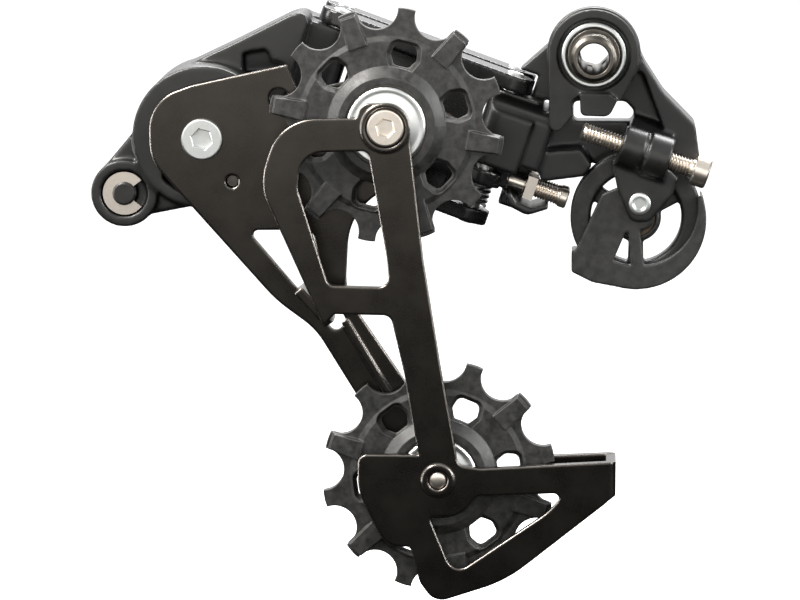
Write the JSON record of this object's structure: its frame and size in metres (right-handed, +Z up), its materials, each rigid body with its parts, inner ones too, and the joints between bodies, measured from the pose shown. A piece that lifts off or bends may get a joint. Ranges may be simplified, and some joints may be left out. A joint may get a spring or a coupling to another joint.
{
  "type": "rear bicycle derailleur",
  "caption": "Rear bicycle derailleur with a slanted parallelogram, a hanger bolt, a sprung pulley cage with a chain guard, toothed jockey wheels and a cable guide pulley.",
  "frame": {"origin": "on the mounting bolt's axis, in the washer's face that meets the frame's hanger", "axes": "+X to the rear of the bicycle, +Y outboard, away from the wheel, +Z up"},
  "size_m": [0.1352, 0.0508, 0.1281],
  "materials": {
    "cage_plate": "dark grey-brown satin anodised",
    "knuckle": "satin black",
    "gloss_link": "gloss black",
    "black_steel": "black oxide",
    "pulley_plastic": "glass-filled, mottled",
    "guide_plastic": "moulded",
    "bright_steel": "bright zinc",
    "champagne_steel": "nickel with a warm tint",
    "dark_steel": "gunmetal",
    "spring_steel": "bright drawn",
    "bronze": "sintered",
    "seal_rubber": "matt"
  },
  "bodies": {
    "mount": {"mounting_bolt": "dark_steel", "mounting_washer": "black_steel", "mounting_bushing": "bright_steel", "mounting_circlip": "spring_steel"},
    "b_knuckle": {"b_knuckle": "knuckle", "guide_pin": "bright_steel", "cable_guide": "guide_plastic", "limit_nuts": "champagne_steel", "return_spring": "spring_steel"},
    "b_screw": {"b_adjust_screw": "champagne_steel"},
    "limit_high": {"limit_screw_high": "champagne_steel"},
    "limit_low": {"limit_screw_low": "champagne_steel"},
    "cable_wheel": {"cable_pulley": "guide_plastic", "cable_pulley_bush": "bronze"},
    "outer_link": {"outer_link": "gloss_link", "rear_outer_pin": "bright_steel", "front_outer_pin": "bright_steel"},
    "inner_link": {"inner_link": "gloss_link", "rear_inner_pin": "bright_steel", "front_inner_pin": "bright_steel", "cable_clamp_washer": "dark_steel", "cable_anchor_bolt": "bright_steel"},
    "p_knuckle": {"p_knuckle": "knuckle", "damper_cap": "knuckle", "damper_cap_screws": "bright_steel", "cage_spring": "spring_steel", "clutch_bearing": "dark_steel", "friction_ring": "bronze", "axle_seal": "seal_rubber", "lock_button_spring": "spring_steel"},
    "lock_button": {"cage_lock_button": "black_steel", "e_clip": "champagne_steel"},
    "cage": {"cage_axle": "dark_steel", "cage_pivot_screw": "bright_steel", "cage_stop_pin": "dark_steel", "outer_cage_plate": "cage_plate", "inner_cage_plate": "cage_plate", "upper_pulley_bolt": "champagne_steel", "lower_pulley_bolt": "champagne_steel", "upper_pulley_sleeve": "dark_steel", "lower_pulley_sleeve": "dark_steel", "upper_near_cover": "bright_steel", "upper_far_cover": "bright_steel", "lower_near_cover": "bright_steel", "lower_far_cover": "bright_steel", "upper_inner_race": "dark_steel", "lower_inner_race": "dark_steel"},
    "upper_pulley": {"upper_pulley": "pulley_plastic", "upper_outer_race": "dark_steel", "upper_balls": "bright_steel"},
    "lower_pulley": {"lower_pulley": "pulley_plastic", "lower_outer_race": "dark_steel", "lower_balls": "bright_steel"}
  },
  "joints": [
    {"name": "b_pivot", "type": "hinge", "parent": "mount", "child": "b_knuckle", "pos_m": [0, 0, 0], "axis": [0, 1, 0], "range_deg": [-20, 8]},
    {"name": "b_screw_travel", "type": "slide", "parent": "b_knuckle", "child": "b_screw", "axis": [0.9478, 0, -0.319], "range_m": [-0.001, 0.002]},
    {"name": "limit_high_travel", "type": "slide", "parent": "b_knuckle", "child": "limit_high", "axis": [0.9478, 0, -0.319], "range_m": [-0.0008, 0.0008]},
    {"name": "limit_low_travel", "type": "slide", "parent": "b_knuckle", "child": "limit_low", "axis": [0.9478, 0, -0.319], "range_m": [-0.0008, 0.0008]},
    {"name": "cable_wheel_spin", "type": "hinge", "parent": "b_knuckle", "child": "cable_wheel", "pos_m": [0.0095, 0.0085, -0.0362], "axis": [0, 1, 0], "continuous": true},
    {"name": "shift", "type": "hinge", "parent": "b_knuckle", "child": "outer_link", "pos_m": [-0.02172, 0.019, -0.01907], "axis": [0.319, 0, 0.9478], "range_deg": [0, 54], "stiffness_Nm_per_rad": 0.25, "springref_deg": -34.38},
    {"name": "inner_link_swing", "type": "hinge", "parent": "b_knuckle", "child": "inner_link", "pos_m": [-0.02076, 0.006, -0.01623], "axis": [0.319, 0, 0.9478], "range_deg": [0, 54]},
    {"name": "knuckle_swing", "type": "hinge", "parent": "outer_link", "child": "p_knuckle", "pos_m": [-0.0601, 0.0276, -0.00615], "axis": [0.319, 0, 0.9478], "range_deg": [-54, 0]},
    {"name": "cage_pivot", "type": "hinge", "parent": "p_knuckle", "child": "cage", "pos_m": [-0.0845, 0, -0.0178], "axis": [0, 1, 0], "range_deg": [0, 75], "stiffness_Nm_per_rad": 0.25, "springref_deg": -45.84},
    {"name": "cage_lock_push", "type": "slide", "parent": "p_knuckle", "child": "lock_button", "axis": [0, -1, 0], "range_m": [0, 0.0008], "stiffness_N_per_m": 600, "springref_m": -0.0015},
    {"name": "upper_pulley_spin", "type": "hinge", "parent": "cage", "child": "upper_pulley", "pos_m": [-0.0443, -0.012, -0.014], "axis": [0, 1, 0], "continuous": true},
    {"name": "lower_pulley_spin", "type": "hinge", "parent": "cage", "child": "lower_pulley", "pos_m": [-0.033, -0.012, -0.0905], "axis": [0, 1, 0], "continuous": true}
  ],
  "couplings": [
    {"joint": "inner_link_swing", "follows": "shift", "ratio": 1},
    {"joint": "knuckle_swing", "follows": "shift", "ratio": -1}
  ]
}
